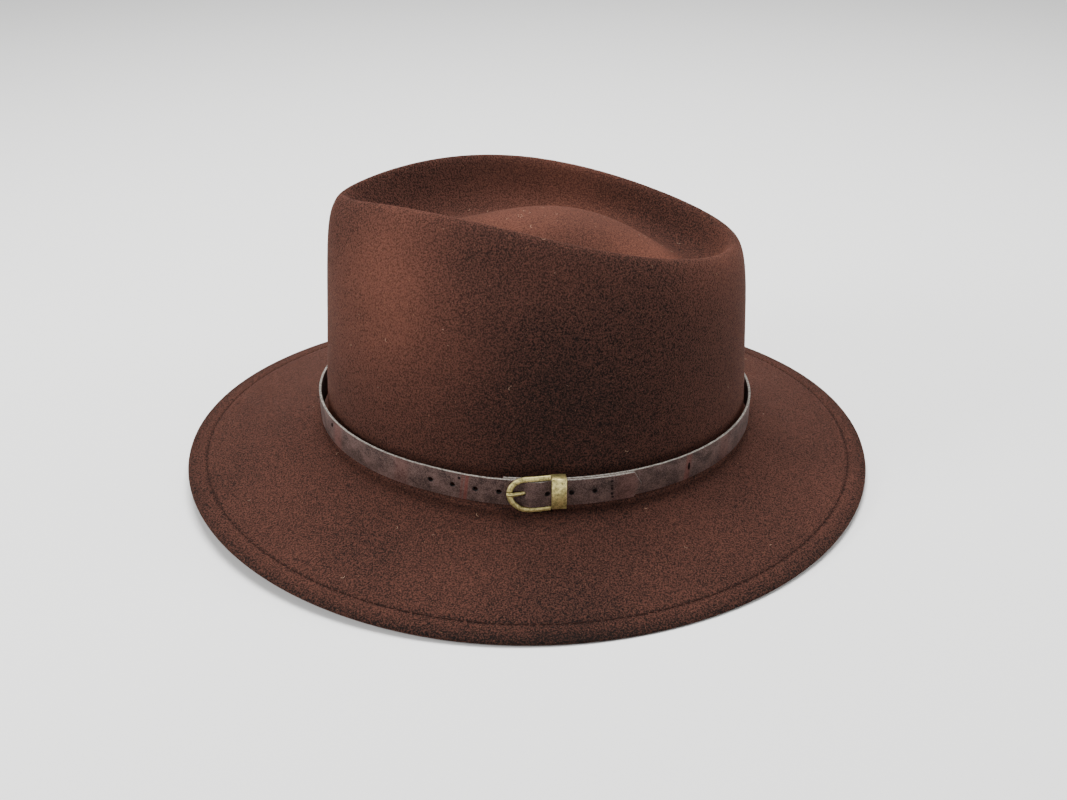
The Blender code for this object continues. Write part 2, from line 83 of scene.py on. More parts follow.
def apply_modifier(piece, kind, **settings):
    """Adds a modifier, sets it up and applies it."""
    take(piece)
    modifier = piece.modifiers.new(kind.lower(), kind)
    for name, value in settings.items():
        setattr(modifier, name, value)
    bpy.ops.object.modifier_apply(modifier=modifier.name)


print("Blender", bpy.app.version_string)

# %% Smooth copies of the CAD's solids
SAME_POINT = 0.001 * MM
QUAD_ANGLE = math.radians(60)  # two triangles that bend less than this become a quad


def smooth_copy(node, name, levels):
    """A copy of a CAD node, merged, turned back into quads and subdivided."""
    piece = bpy.data.objects.new(name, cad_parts[node].data.copy())
    bpy.context.scene.collection.objects.link(piece)
    piece.data.materials.clear()
    edit(piece)
    bpy.ops.mesh.customdata_custom_splitnormals_clear()
    bpy.ops.mesh.remove_doubles(threshold=SAME_POINT)
    bpy.ops.mesh.tris_convert_to_quads(face_threshold=QUAD_ANGLE, shape_threshold=QUAD_ANGLE)
    close_edit()
    if levels:
        apply_modifier(piece, "SUBSURF", levels=levels, render_levels=levels)
    take(piece)
    bpy.ops.object.shade_smooth()
    return piece


print("Solids to dress:", ", ".join(sorted(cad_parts)))

# %% Hand a finished piece over
def finish_piece(piece, material, replaces=()):
    """Gives a piece its finish and says what it rides on and which CAD nodes it stands for."""
    if not piece.data.materials:
        piece.data.materials.append(material)
    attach(piece, "root")
    if replaces:
        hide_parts(*replaces)
    triangles = sum(len(face.vertices) - 2 for face in piece.data.polygons)
    print(piece.name, triangles, "triangles")


# %% [markdown]
# ## Writing a finish as sums
# A procedural finish is a sum of patterns: a coarse one for clouds in the dye, a fine
# one for the pile. Drawn as nodes, such sums are hard to read. Here a small class wraps
# a node's socket, and Python's operators add the Math nodes, so 1 - mask just works.

# %% Sockets that can be added and multiplied
class Value:
    """A socket in a finish. Arithmetic on it adds Math nodes."""

    def __init__(self, finish, socket):
        self.finish = finish
        self.socket = socket

    def math(self, operation, first, second):
        return self.finish.node("ShaderNodeMath", {"operation": operation}, {0: first, 1: second})

    def __add__(self, other):
        return self.math("ADD", self, other)

    def __sub__(self, other):
        return self.math("SUBTRACT", self, other)

    def __rsub__(self, other):
        return self.math("SUBTRACT", other, self)

    def __mul__(self, other):
        return self.math("MULTIPLY", self, other)

    def __abs__(self):
        return self.math("ABSOLUTE", self, 0)

    __radd__ = __add__
    __rmul__ = __mul__


# %% A finish and its nodes
class Finish:
    """A procedural material. Constants are set on the shader's own sockets."""

    def __init__(self, name, **constants):
        self.material = bpy.data.materials.new(name)
        self.material.use_nodes = True
        self.tree = self.material.node_tree
        self.shader = self.tree.nodes["Principled BSDF"]
        for key, value in constants.items():
            self.shader.inputs[key.replace("_", " ")].default_value = value

    def feed(self, socket, value):
        """Links a value to a socket, or sets the socket to a plain number or colour."""
        if isinstance(value, Value):
            self.tree.links.new(value.socket, socket)
        else:
            socket.default_value = value

    def node(self, kind, settings, inputs, output=0):
        """Adds a node. Its settings are set before its sockets."""
        made = self.tree.nodes.new(kind)
        for key, value in settings.items():
            if key == "stops":
                self.set_stops(made.color_ramp.elements, value)
            else:
                setattr(made, key, value)
        for key, value in inputs.items():
            self.feed(made.inputs[key], value)
        return Value(self, made.outputs[output])

    def set_stops(self, elements, stops):
        while len(elements) < len(stops):
            elements.new(0.5)
        for element, (position, level) in zip(elements, stops):
            element.position = position
            element.color = (level, level, level, 1)

    def place(self):
        return self.node("ShaderNodeTexCoord", {}, {}, "Object")

    def noise(self, vector, size, detail=3.0, roughness=0.5):
        """Clouds of about this size in metres."""
        inputs = {"Vector": vector, "Scale": 1 / size, "Detail": detail, "Roughness": roughness}
        return self.node("ShaderNodeTexNoise", {}, inputs)

    def ramp(self, value, *stops):
        return self.node("ShaderNodeValToRGB", {"stops": stops}, {0: value})

    def fade(self, distance, near, far, level):
        """This level up to the near distance, easing to nothing at the far one."""
        inputs = {0: distance, 1: near, 2: far, 3: level, 4: 0.0}
        return self.node("ShaderNodeMapRange", {"interpolation_type": "SMOOTHSTEP"}, inputs)

    def patch(self, place, centre, radius, level):
        """A soft round patch about a centre given in metres."""
        ends = {0: place, 1: centre}
        away = self.node("ShaderNodeVectorMath", {"operation": "DISTANCE"}, ends, "Value")
        return self.fade(away, 0.0, radius, level)

    def mix(self, share, first, second):
        """A colour between two colours."""
        return self.node("ShaderNodeMix", {"data_type": "RGBA"}, {0: share, 6: first, 7: second}, 2)

    def bump(self, height, depth):
        """Relief of this depth in metres."""
        inputs = {"Height": height, "Distance": depth, "Strength": 1.0}
        self.paint(Normal=self.node("ShaderNodeBump", {}, inputs))

    def paint(self, **sockets):
        """Feeds patterns or constants to the shader's sockets."""
        for key, value in sockets.items():
            self.feed(self.shader.inputs[key.replace("_", " ")], value)


# %% Colours as a screen shows them
def colour(red, green, blue):
    """A screen colour, 0 to 255, as the linear colour that nodes take."""
    linear = [((c / 255 + 0.055) / 1.055) ** 2.4 for c in (red, green, blue)]
    return (*linear, 1.0)


print("Middle grey as nodes take it:", [round(part, 3) for part in colour(128, 128, 128)])

# %% [markdown]
# ## Felt
# Felt is a mat of wool or fur with a short pile on top. It has no threads and no
# gloss: the dye is a little cloudy, and single paler hairs show as specks. Light and
# shade are also painted into its colour: soft patches of painted light make it lighter
# and redder on the lit parts of the crown, and patches of painted shade make it darker
# where shade falls. A picture of felt could be laid on, but it would stretch over the
# crown and show a seam. Noise has the same size everywhere and fits any shape, so noise
# gives the pile, and a short table gives the patches of painted light and shade.

# %% Colours and sizes in the felt
FELT_DARK = colour(17, 10, 8)
FELT_MIDDLE = colour(80, 48, 39)
FELT_LIGHT = colour(118, 72, 58)
FELT_HAIR = colour(150, 108, 80)
FELT_SHEEN = colour(170, 98, 70)
CLOUD_SIZE = 45 * MM
CLUMP_SIZE = 4 * MM
PILE_SIZE = 0.7 * MM
PILE_DEPTH = 0.4 * MM
SPECK_SIZE = 0.5 * MM
SEAM_INSET = 9.7 * MM  # from the edge of the brim to the seam
felt_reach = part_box("felt_body")[1]
SEAM_HALF_WIDTH = felt_reach.x - SEAM_INSET
SEAM_HALF_LENGTH = felt_reach.y - SEAM_INSET
print("Seam's oval, mm:", [round(2 * half / MM, 1) for half in (SEAM_HALF_WIDTH, SEAM_HALF_LENGTH)])

# %% Painted light and painted shade on the felt
# Painted light: soft patches where the felt's colour is made lighter and redder to stand in for
# light on the crown and brim.
PAINTED_LIGHT_PATCHES = (  # centre in mm, radius in mm, how light
    ((46, -66, 98), 60, 0.42),  # front left of the crown's wall
    ((-46, -60, 95), 60, 0.3),
    ((30, -62, 128), 40, 0.2),  # the pinch
    ((8, 14, 126), 44, 0.26),  # the dome inside the crown
    ((20, 60, 110), 44, 0.7),
    ((12, -24, 126), 44, 0.44),  # the ridge
    ((-50, 20, 122), 60, 0.4),  # the far ridge
    ((-100, 70, 12), 60, 0.1),  # brim
)
# Painted shade: soft patches where the felt's colour is made darker to stand in for shade on the
# crown's wall and the brim.
PAINTED_SHADE_PATCHES = (  # centre in mm, radius in mm, how dark
    ((86, 14, 66), 72, 0.28),  # the middle of the crown's wall
    ((-84, 12, 65), 60, 0.2),
    ((152, 0, 0), 60, 0.26),  # brim
    ((8, -142, 14), 62, 0.12),
    ((104, -78, 11), 36, 0.12),
    ((-110, -60, 10), 50, 0.12),
)


def patches(finish, place, table):
    """The sum of the soft patches in a table."""
    soft = []
    for centre, radius, level in table:
        soft.append(finish.patch(place, Vector(centre) * MM, radius * MM, level))
    return sum(soft[1:], soft[0])


def painted_shade_at_edge(finish, place):
    """Painted shade: a thin dark line along the seam, and darker felt towards the edge of the brim.
    """
    oval = finish.node(
        "ShaderNodeVectorMath",
        {"operation": "MULTIPLY"},
        {0: place, 1: (1 / SEAM_HALF_WIDTH, 1 / SEAM_HALF_LENGTH, 0)},
    )
    reach = finish.node("ShaderNodeVectorMath", {"operation": "LENGTH"}, {0: oval}, "Value")
    past_seam = (reach - 1) * SEAM_HALF_WIDTH
    # a thin line of painted shade along the seam
    pressed = finish.fade(abs(past_seam), 0.3 * MM, 1.4 * MM, 0.2)
    # painted shade that deepens towards the edge of the brim
    edge_shade = finish.fade(SEAM_INSET - past_seam, 0.5 * MM, 8 * MM, 0.3)
    return pressed + edge_shade


print("Soft patches on the felt:", len(PAINTED_LIGHT_PATCHES) + len(PAINTED_SHADE_PATCHES))

# %% The felt's finish
def felt_finish():
    felt = Finish("wool_felt", Roughness=0.95, Specular_IOR_Level=0.15, Sheen_Weight=0.25)
    felt.shader.inputs["Sheen Roughness"].default_value = 0.3
    felt.shader.inputs["Sheen Tint"].default_value = FELT_SHEEN
    place = felt.place()
    clouds = felt.noise(place, CLOUD_SIZE, 3)
    pile = felt.noise(place, PILE_SIZE, 2, 0.6)
    clumps = felt.noise(place, CLUMP_SIZE, 3)
    tufts = felt.ramp(pile, (0.40, 0.0), (0.60, 1.0))
    # dark is painted shade: the patches of painted shade, a line along the seam and the brim's edge
    dark = patches(felt, place, PAINTED_SHADE_PATCHES) + painted_shade_at_edge(felt, place)
    # the weights share the contrast out between clouds, tufts and clumps
    shade = clouds * 0.4 + tufts * 0.78 + clumps * 0.2 - 0.18 - dark
    # painted light: the patches lift the felt towards FELT_LIGHT, mottled by the clouds and tufts
    painted_light = patches(felt, place, PAINTED_LIGHT_PATCHES) * (clouds * 0.8 + tufts * 0.5 + 0.2)
    specks = felt.ramp(felt.noise(place, SPECK_SIZE, 1), (0.69, 0.0), (0.76, 1.0))
    # dyed holds the dye's tone with the painted shade and the painted light laid in
    dyed = felt.mix(painted_light, felt.mix(shade, FELT_DARK, FELT_MIDDLE), FELT_LIGHT)
    felt.paint(Base_Color=felt.mix(specks * 0.4, dyed, FELT_HAIR))
    felt.bump(tufts * 0.6 + clumps * 0.4, PILE_DEPTH)
    return felt.material


felt_material = felt_finish()
print("Felt finish nodes:", len(felt_material.node_tree.nodes))

# %% [markdown]
# ## The felt body
# The hatter blocks crown and brim from one felt hood, with steam, over a wooden form.
# The crown could be sculpted again here, but the CAD solid already has the true form,
# only with flat facets. Subdividing a merged copy rounds them and keeps the form.

# %% Crown and brim
felt_body = smooth_copy("felt_body", "felt_crown_and_brim", 2)
finish_piece(felt_body, felt_material, ["felt_body"])

# %% [markdown]
# ## The sewn edge of the brim
# The brim's edge is turned under and sewn down by machine, 10 mm in. Each stitch pulls
# the felt in a little, so the seam lies in a shallow groove. A ring of vertices already
# runs along the seam, and pushing that ring in gives the groove as real shape. A bump in
# the finish would be quicker, but it would leave the outline and the exported mesh flat.

# %% Press the seam's groove
GROOVE_DEPTH = 0.45 * MM
GROOVE_REACH = 0.5 * MM  # how far from the seam's line a vertex still belongs to it


def from_seam(place):
    """How far outside the seam's oval a place is, seen from above."""
    reach = math.hypot(place.x / SEAM_HALF_WIDTH, place.y / SEAM_HALF_LENGTH)
    return (reach - 1) * SEAM_HALF_WIDTH


def press_groove(piece):
    """Pushes the vertices of the seam in, on the brim's upper and under side alike."""
    edit(piece)
    bpy.ops.mesh.select_all(action="DESELECT")
    close_edit()
    pressed = 0
    for vertex in piece.data.vertices:
        lies_flat = abs(vertex.normal.z) > 0.5
        if lies_flat and abs(from_seam(vertex.co)) < GROOVE_REACH:
            vertex.select = True
            pressed += 1
    bpy.ops.object.mode_set(mode="EDIT")
    bpy.ops.mesh.select_mode(type="VERT")
    bpy.ops.transform.shrink_fatten(value=-GROOVE_DEPTH)
    close_edit()
    return pressed


print("Vertices pressed in:", press_groove(felt_body))

# %% [markdown]
# ## Stitches
# A lockstitch shows as short dashes of thread, each a small round bar that dips into
# the felt at both ends. An array along a curve could repeat it, but it would not follow
# the felt's height. So one stitch is modelled, with few faces because hundreds follow,
# and copies of it are laid along the seam on the felt's own surface.

# %% One stitch
THREAD_WIDTH = 0.55 * MM
THREAD_FLATTENING = 0.8  # a pulled thread is lower than it is wide
STITCH_LENGTH = 2.5 * MM
STITCH_PITCH = 3.3 * MM


def one_stitch(name, length, width):
    """A thread between two needle holes, lying along X."""
    bpy.ops.mesh.primitive_uv_sphere_add(segments=8, ring_count=6, radius=width / 2)
    stitch = bpy.context.object
    stitch.name = name
    edit(stitch)
    stretch = (length / width, 1, THREAD_FLATTENING)
    bpy.ops.transform.rotate(value=math.pi / 2, orient_axis="Y", center_override=(0, 0, 0))
    bpy.ops.transform.resize(value=stretch, center_override=(0, 0, 0))
    close_edit()
    bpy.ops.object.shade_smooth()
    return stitch


def lay_copies(stitch, places, name):
    """Copies of a stitch at places given as matrices, joined into one piece."""
    copies = []
    for place in places:
        copy = bpy.data.objects.new(name, stitch.data.copy())
        bpy.context.scene.collection.objects.link(copy)
        copy.data.transform(place)
        copies.append(copy)
    take(*copies)
    bpy.ops.object.join()
    bpy.data.objects.remove(stitch)
    joined = bpy.context.object
    joined.name = name
    return joined


print("Stitch and gap, mm:", STITCH_LENGTH / MM, round((STITCH_PITCH - STITCH_LENGTH) / MM, 1))

# %% Where each stitch lies
OVAL_STEPS = 1440
STITCH_LIFT = 0.05 * MM  # so that half of the thread and a little more shows


def seam_oval():
    """Points round the seam, seen from above, and how far round each one is."""
    points = []
    for i in range(OVAL_STEPS + 1):
        angle = 2 * math.pi * i / OVAL_STEPS
        x = SEAM_HALF_WIDTH * math.sin(angle)
        y = -SEAM_HALF_LENGTH * math.cos(angle)
        points.append(Vector((x, y, 0)))
    lengths = [0.0]
    for first, second in zip(points, points[1:]):
        lengths.append(lengths[-1] + (second - first).length)
    return points, lengths


def seam_places(side):
    """Matrices that lay stitches on the upper side (1) or the under side (-1) of the brim."""
    oval, lengths = seam_oval()
    count = round(lengths[-1] / STITCH_PITCH)
    places = []
    at = 0
    for i in range(count):
        while lengths[at + 1] < lengths[-1] * i / count:
            at += 1
        start = oval[at] + Vector((0, 0, side))
        _, point, normal, _ = felt_body.ray_cast(start, Vector((0, 0, -side)))
        along = (oval[at + 1] - oval[at]).normalized()
        along = (along - normal * along.dot(normal)).normalized()
        across = normal.cross(along)
        turned = Matrix((along, across, normal)).transposed().to_4x4()
        places.append(Matrix.Translation(point + normal * STITCH_LIFT) @ turned)
    return places


seam_matrices = seam_places(1) + seam_places(-1)
print("Stitches on both sides of the brim:", len(seam_matrices))

# %% Sew the brim
def thread_finish(name, strand_size, dark, light):
    """Dull thread, darker between its strands."""
    thread = Finish(name, Roughness=0.9, Specular_IOR_Level=0.1)
    strands = thread.noise(thread.place(), strand_size, 2)
    thread.paint(Base_Color=thread.mix(strands, dark, light))
    return thread, strands


thread, strands = thread_finish("brown_thread", 0.25 * MM, colour(24, 13, 11), colour(50, 28, 22))
thread.bump(strands, 0.1 * MM)
stitch = one_stitch("stitch", STITCH_LENGTH, THREAD_WIDTH)
brim_stitches = lay_copies(stitch, seam_matrices, "brim_stitches")
finish_piece(brim_stitches, thread.material)

# %% [markdown]
# ## Loose hairs
# Felt sheds, and a few pale hairs always lie on it. A particle system could scatter
# them, but its hairs are no mesh that an export could carry. Here a hair is a thin curl:
# a small circle spun part of a turn, with its ends filled. Copies are dropped on the felt
# at random places with a fixed seed, so that they fall the same way on every run.

# %% One hair
HAIR_THICKNESS = 0.11 * MM
HAIR_CURL = 0.8 * MM  # radius of the curl
HAIR_TURN = math.radians(140)
HAIR_SIDES = 5
HAIR_STEPS = 8


def one_hair():
    """A curl of hair with filled ends, lying flat about the origin."""
    bpy.ops.mesh.primitive_circle_add(
        vertices=HAIR_SIDES,
        radius=HAIR_THICKNESS / 2,
        location=(HAIR_CURL, 0, 0),
        rotation=(math.pi / 2, 0, 0),
    )
    hair = bpy.context.object
    take(hair)
    bpy.ops.object.transform_apply()
    edit(hair)
    bpy.ops.mesh.spin(steps=HAIR_STEPS, angle=HAIR_TURN, center=(0, 0, 0), axis=(0, 0, 1))
    bpy.ops.mesh.select_all(action="DESELECT")
    bpy.ops.mesh.select_non_manifold(extend=False)
    bpy.ops.mesh.edge_face_add()
    bpy.ops.mesh.select_all(action="SELECT")
    bpy.ops.mesh.normals_make_consistent(inside=False)
    close_edit()
    bpy.ops.object.shade_smooth()
    return hair


print("Length of a hair, mm:", round(HAIR_CURL * HAIR_TURN / MM, 1))

# %% Where the hairs lie
HAIR_COUNT = 110
FROM_ABOVE = 0.6  # share that falls from above, the rest lands on the crown's wall
FAR_OFF = 300 * MM  # a start well away from the hat
BRIM_REACH_MM = 150
WALL_HEIGHTS_MM = (45, 125)
SMALLEST_AND_LARGEST = (0.4, 1.3)
MOST_TILT = 0.15
draw = random.Random(7)


def standing_on(point, normal, turn):
    """A matrix that puts a shape on the felt at this point, turned about the normal."""
    side = normal.orthogonal().normalized()
    basis = Matrix((side, normal.cross(side), normal)).transposed().to_4x4()
    return Matrix.Translation(point) @ basis @ Matrix.Rotation(turn, 4, "Z")


def drop_on_felt():
    """A random place on the brim, on the crown's wall or on its top."""
    angle = draw.uniform(0, 2 * math.pi)
    away = Vector((math.sin(angle), -math.cos(angle), 0))
    if draw.random() < FROM_ABOVE:
        start = away * draw.uniform(0, BRIM_REACH_MM) * MM + Vector((0, 0, FAR_OFF))
        towards = Vector((0, 0, -1))
    else:
        start = away * FAR_OFF + Vector((0, 0, draw.uniform(*WALL_HEIGHTS_MM) * MM))
        towards = -away
    return felt_body.ray_cast(start, towards)[:3]


hair_places = []
while len(hair_places) < HAIR_COUNT:
    hit, point, normal = drop_on_felt()
    turn = draw.uniform(0, 2 * math.pi)
    size = draw.uniform(*SMALLEST_AND_LARGEST)
    tilt = draw.uniform(-MOST_TILT, MOST_TILT)
    if hit:
        lying = standing_on(point + normal * HAIR_THICKNESS / 2, normal, turn)
        tilted = lying @ Matrix.Rotation(tilt, 4, "X")
        hair_places.append(tilted @ Matrix.Diagonal((size, size, 1, 1)))
print("Hairs that landed:", len(hair_places))

# %% Drop the hairs
hair_finish = Finish("loose_hair", Roughness=0.7)
hair_tone = hair_finish.noise(hair_finish.place(), 20 * MM, 1)
hair_finish.paint(Base_Color=hair_finish.mix(hair_tone, colour(110, 70, 52), colour(210, 175, 145)))
loose_hairs = lay_copies(one_hair(), hair_places, "loose_hairs")
finish_piece(loose_hairs, hair_finish.material)

# %% [markdown]
# ## From a flat strap to a strap round the crown
# A strap is cut and punched flat, and only then bent. A curve modifier could bend it,
# but it would tilt the strap where the crown's foot rises and dips. So a piece is
# modelled flat, with X along the strap, Y up its width and Z out from the crown, and
# one function then lays every vertex round the crown, upright, as the CAD part does.

# %% The way round the crown
CROWN_HALF_LENGTH = 104 * MM
CROWN_HALF_WIDTH = 87 * MM
CROWN_MIDDLE = 4 * MM
BREAK_HEIGHT = 21.7 * MM  # where the crown meets the brim, at the sides
BREAK_RISE_FRONT = 3.3 * MM
BREAK_DIP_BACK = 2.4 * MM
STRAP_LIFT = 3.3 * MM
STRAP_WIDTH = 13 * MM
STRAP_THICKNESS = 1.2 * MM


def crown_foot(angle):
    """A point on the crown's foot and the way straight out from it. Angle 0 is the front."""
    sine = np.sin(angle)
    cosine = np.cos(angle)
    point = np.stack([CROWN_HALF_WIDTH * sine, CROWN_MIDDLE - CROWN_HALF_LENGTH * cosine], -1)
    out = np.stack([sine / CROWN_HALF_WIDTH, -cosine / CROWN_HALF_LENGTH], -1)
    return point, out / np.linalg.norm(out, axis=-1)[:, None]


round_angles = math.pi / 2 + np.linspace(0, 2 * math.pi, OVAL_STEPS + 1)
round_steps = np.linalg.norm(np.diff(crown_foot(round_angles)[0], axis=0), axis=1)
round_lengths = np.concatenate([[0], np.cumsum(round_steps)])
GIRTH = round_lengths[-1]
print("Length round the crown, mm:", round(GIRTH / MM, 1))


# %% Bend a flat piece round the crown
def lay_round_crown(piece, lay=None):
    """Bends a flat piece round the crown and keeps its flat places as an attribute."""
    count = len(piece.data.vertices)
    flat = np.empty(count * 3)
    piece.data.vertices.foreach_get("co", flat)
    kept = piece.data.attributes.new("flat_place", "FLOAT_VECTOR", "POINT")
    kept.data.foreach_set("vector", flat)
    along, up, out = flat.reshape(-1, 3).T
    if lay:
        out = out + lay(along)
    angle = np.interp(along % GIRTH, round_lengths, round_angles)
    to_back = -np.cos(angle)  # from -1 at the front to 1 at the back
    point, outward = crown_foot(angle)
    slope = (BREAK_RISE_FRONT + BREAK_DIP_BACK) / 2
    bow = (BREAK_RISE_FRONT - BREAK_DIP_BACK) / 2
    saddle = -slope * to_back + bow * to_back**2
    height = BREAK_HEIGHT + saddle + STRAP_LIFT + STRAP_WIDTH / 2 + up
    bent = np.column_stack([point + outward * out[:, None], height])
    piece.data.vertices.foreach_set("co", bent.ravel())
    piece.data.update()


print("Strap's lower edge at the sides, mm high:", round((BREAK_HEIGHT + STRAP_LIFT) / MM, 1))

# %% [markdown]
# ## How the strap lies
# The strap starts under the buckle, goes once round, and comes back over its own start
# and over the buckle's bar. So its height above the crown changes along its length, and
# a short table says where. Between two rows it eases from one height to the next.

# %% Places along the strap and levels out from the crown
GAP = 0.3 * MM
UNDER_END = -23.3 * MM
TIP = 37.1 * MM
TIP_POINT = 3.6 * MM
HOLE_SPACING = 10.2 * MM
PRONG_HOLE = -14.8 * MM
BUCKLE_LEFT = -21.7 * MM
BAR_AT = -10.0 * MM
BAR_DIAMETER = 1.1 * MM
KEEPER_LEFT = -2.9 * MM
SETTLE = 34 * MM  # the strap takes this length to come down from the under end
UNDER_LEVEL = 1.6 * MM
OVER_LEVEL = UNDER_LEVEL + STRAP_THICKNESS + GAP
BAR_LEVEL = OVER_LEVEL + BAR_DIAMETER / 2
OVER_BAR_LEVEL = BAR_LEVEL + BAR_DIAMETER / 2 + GAP
PAST_HOOK = BAR_AT + 2.35 * MM  # the prong's hook ends here
print("Levels of under layer, over layer and bar, mm:")
print([round(level / MM, 2) for level in (UNDER_LEVEL, OVER_LEVEL, BAR_LEVEL)])

# %% The lay of the strap
LAY_PLACES_AND_LEVELS = (
    (UNDER_END, UNDER_LEVEL),
    (TIP + STRAP_WIDTH / 2, UNDER_LEVEL),
    (GIRTH / 4, 0.8 * MM),
    (GIRTH / 2, 0.9 * MM),
    (GIRTH * 3 / 4, 1.8 * MM),
    (GIRTH + UNDER_END - STRAP_THICKNESS - SETTLE, 1.8 * MM),
    (GIRTH + UNDER_END - STRAP_THICKNESS, OVER_LEVEL),
    (GIRTH + PRONG_HOLE - 1.0 * MM, OVER_LEVEL),
    (GIRTH + PRONG_HOLE + 3.0 * MM, OVER_LEVEL + 1.6 * MM),
    (GIRTH + BAR_AT - BAR_DIAMETER / 2, OVER_BAR_LEVEL),
    (GIRTH + PAST_HOOK, OVER_BAR_LEVEL),
    (GIRTH + KEEPER_LEFT - GAP, OVER_LEVEL),
    (GIRTH + TIP, OVER_LEVEL),
)


def strap_lay(along):
    """How far out the strap's inner face lies at each place along it."""
    places, levels = np.array(LAY_PLACES_AND_LEVELS).T
    index = np.clip(np.searchsorted(places, along, side="right") - 1, 0, len(places) - 2)
    share = np.clip((along - places[index]) / (places[index + 1] - places[index]), 0, 1)
    eased = share * share * (3 - 2 * share)
    return levels[index] + (levels[index + 1] - levels[index]) * eased


print("Rows in the table of the lay:", len(LAY_PLACES_AND_LEVELS))

# %% [markdown]
# ## Cutting the strap
# The strap is a long bar with one pointed end. Its edges are only slightly rounded,
# because raw leather is cut, not folded. It could start from a curve with a profile,
# but a cube that is bisected and bevelled keeps its faces in tidy rows. The long edges
# are subdivided last, so that the bar has enough rows to bend smoothly.

# %% Select edges by their place
STRAP_EDGE = 0.22 * MM  # rounding of the cut edges
ROW_LENGTH = 1.7 * MM
ROW_CUTS = round(math.sqrt((GIRTH + TIP - UNDER_END) / ROW_LENGTH)) - 1


def select_long_edges(piece):
    """Selects the edges that run on for more than two rows along the strap."""
    edit(piece)
    bpy.ops.mesh.select_mode(type="EDGE")
    bpy.ops.mesh.select_all(action="DESELECT")
    close_edit()
    for line in piece.data.edges:
        first, second = (piece.data.vertices[i].co for i in line.vertices)
        line.select = abs(first.x - second.x) > 2 * ROW_LENGTH
    bpy.ops.object.mode_set(mode="EDIT")


print("Cuts in each of two rounds:", ROW_CUTS)

# %% Cut the flat strap
def cut_strap():
    """A flat bar with a point at one end, rounded edges and rows of faces along it."""
    start = UNDER_END
    end = GIRTH + TIP
    middle = ((start + end) / 2, 0, STRAP_THICKNESS / 2)
    size = (end - start, STRAP_WIDTH, STRAP_THICKNESS)
    bpy.ops.mesh.primitive_cube_add(size=1, location=middle, scale=size)
    blank = bpy.context.object
    blank.name = "leather_strap"
    take(blank)
    bpy.ops.object.transform_apply()
    edit(blank)
    shoulder = end - TIP_POINT
    bpy.ops.mesh.bisect(plane_co=(shoulder, 0, 0), plane_no=(1, 0, 0))
    bpy.ops.mesh.select_all(action="SELECT")
    bpy.ops.mesh.bisect(plane_co=(0, 0, 0), plane_no=(0, 1, 0))
    close_edit()
    corners = [v for v in blank.data.vertices if v.co.x > shoulder + MM and abs(v.co.y) > MM]
    for corner in corners:
        corner.co.x = shoulder
    edit(blank)
    bpy.ops.mesh.remove_doubles(threshold=0.01 * MM)
    bpy.ops.mesh.select_all(action="DESELECT")
    bpy.ops.mesh.edges_select_sharp(sharpness=math.radians(50))
    bpy.ops.mesh.bevel(offset=STRAP_EDGE, segments=2, affect="EDGES")
    close_edit()
    for _ in range(2):  # an operator makes 100 cuts at most, so the rows come in two rounds
        select_long_edges(blank)
        bpy.ops.mesh.subdivide(number_cuts=ROW_CUTS)
        close_edit()
    return blank


strap = cut_strap()
print("Flat strap:", len(strap.data.vertices), "vertices")

# %% [markdown]
# ## Raw edges
# Cut leather is paler at its edges than on its dyed face, so the side faces get a
# finish of their own. A mask in the leather's finish could do it, but the sides are
# easy to tell by their normals while the strap is still flat. The pale rim is made a
# little wider along the top and at the tip, where hands rub it.

# %% Mark the raw edges
RAW_EDGE = 1  # index of the raw edge's finish
STEEP_SIDE = 0.5  # a face is raw where its normal's height is under this
STEEP_TOP = 0.88
STEEP_TIP = 0.98


def mark_raw_edges(piece):
    """Gives the sides of the flat strap the raw edge's finish."""
    marked = 0
    for face in piece.data.polygons:
        steepest = STEEP_SIDE
        if face.center.x > GIRTH + TIP - TIP_POINT:
            steepest = STEEP_TIP
        elif face.center.y > STRAP_WIDTH / 2 - STRAP_EDGE:
            steepest = STEEP_TOP
        if abs(face.normal.z) < steepest:
            face.material_index = RAW_EDGE
            marked += 1
    return marked


print("Raw faces:", mark_raw_edges(strap))

# %% [markdown]
# ## Punched holes
# The holes are punched, which presses their rims down. They could be painted on, but
# the light has to fall into them. So a straight cutter makes each hole, a cone makes
# its rim, and a block cuts the slot that the prong goes through in the under layer.
# The cut walls are coloured near black, as painted shade.

# %% Cutters
SLIVER = 0.004 * MM
CUTTER_SIDES = 20


def clean_cuts(piece):
    """Merges the slivers that a cut leaves."""
    edit(piece)
    bpy.ops.mesh.remove_doubles(threshold=SLIVER)
    bpy.ops.mesh.dissolve_degenerate(threshold=SLIVER)
    close_edit()


def cut(piece, cutter, operation="DIFFERENCE"):
    """Cuts a shape out of a piece, or joins it on, and removes the cutter."""
    apply_modifier(piece, "BOOLEAN", operation=operation, solver="EXACT", object=cutter)
    bpy.data.objects.remove(cutter)


def punch(piece, cutters):
    """Cuts several shapes out of a piece at once."""
    take(*cutters)
    bpy.ops.object.join()
    cut(piece, bpy.context.object)
    clean_cuts(piece)


def round_cutter(along, radius_low, radius_high, low, high):
    """A standing cone or cylinder, at this place along the flat strap."""
    bpy.ops.mesh.primitive_cone_add(
        vertices=CUTTER_SIDES,
        radius1=radius_low,
        radius2=radius_high,
        depth=high - low,
        location=(along, 0, (low + high) / 2),
    )
    return bpy.context.object


print("Sides of a round cutter:", CUTTER_SIDES)

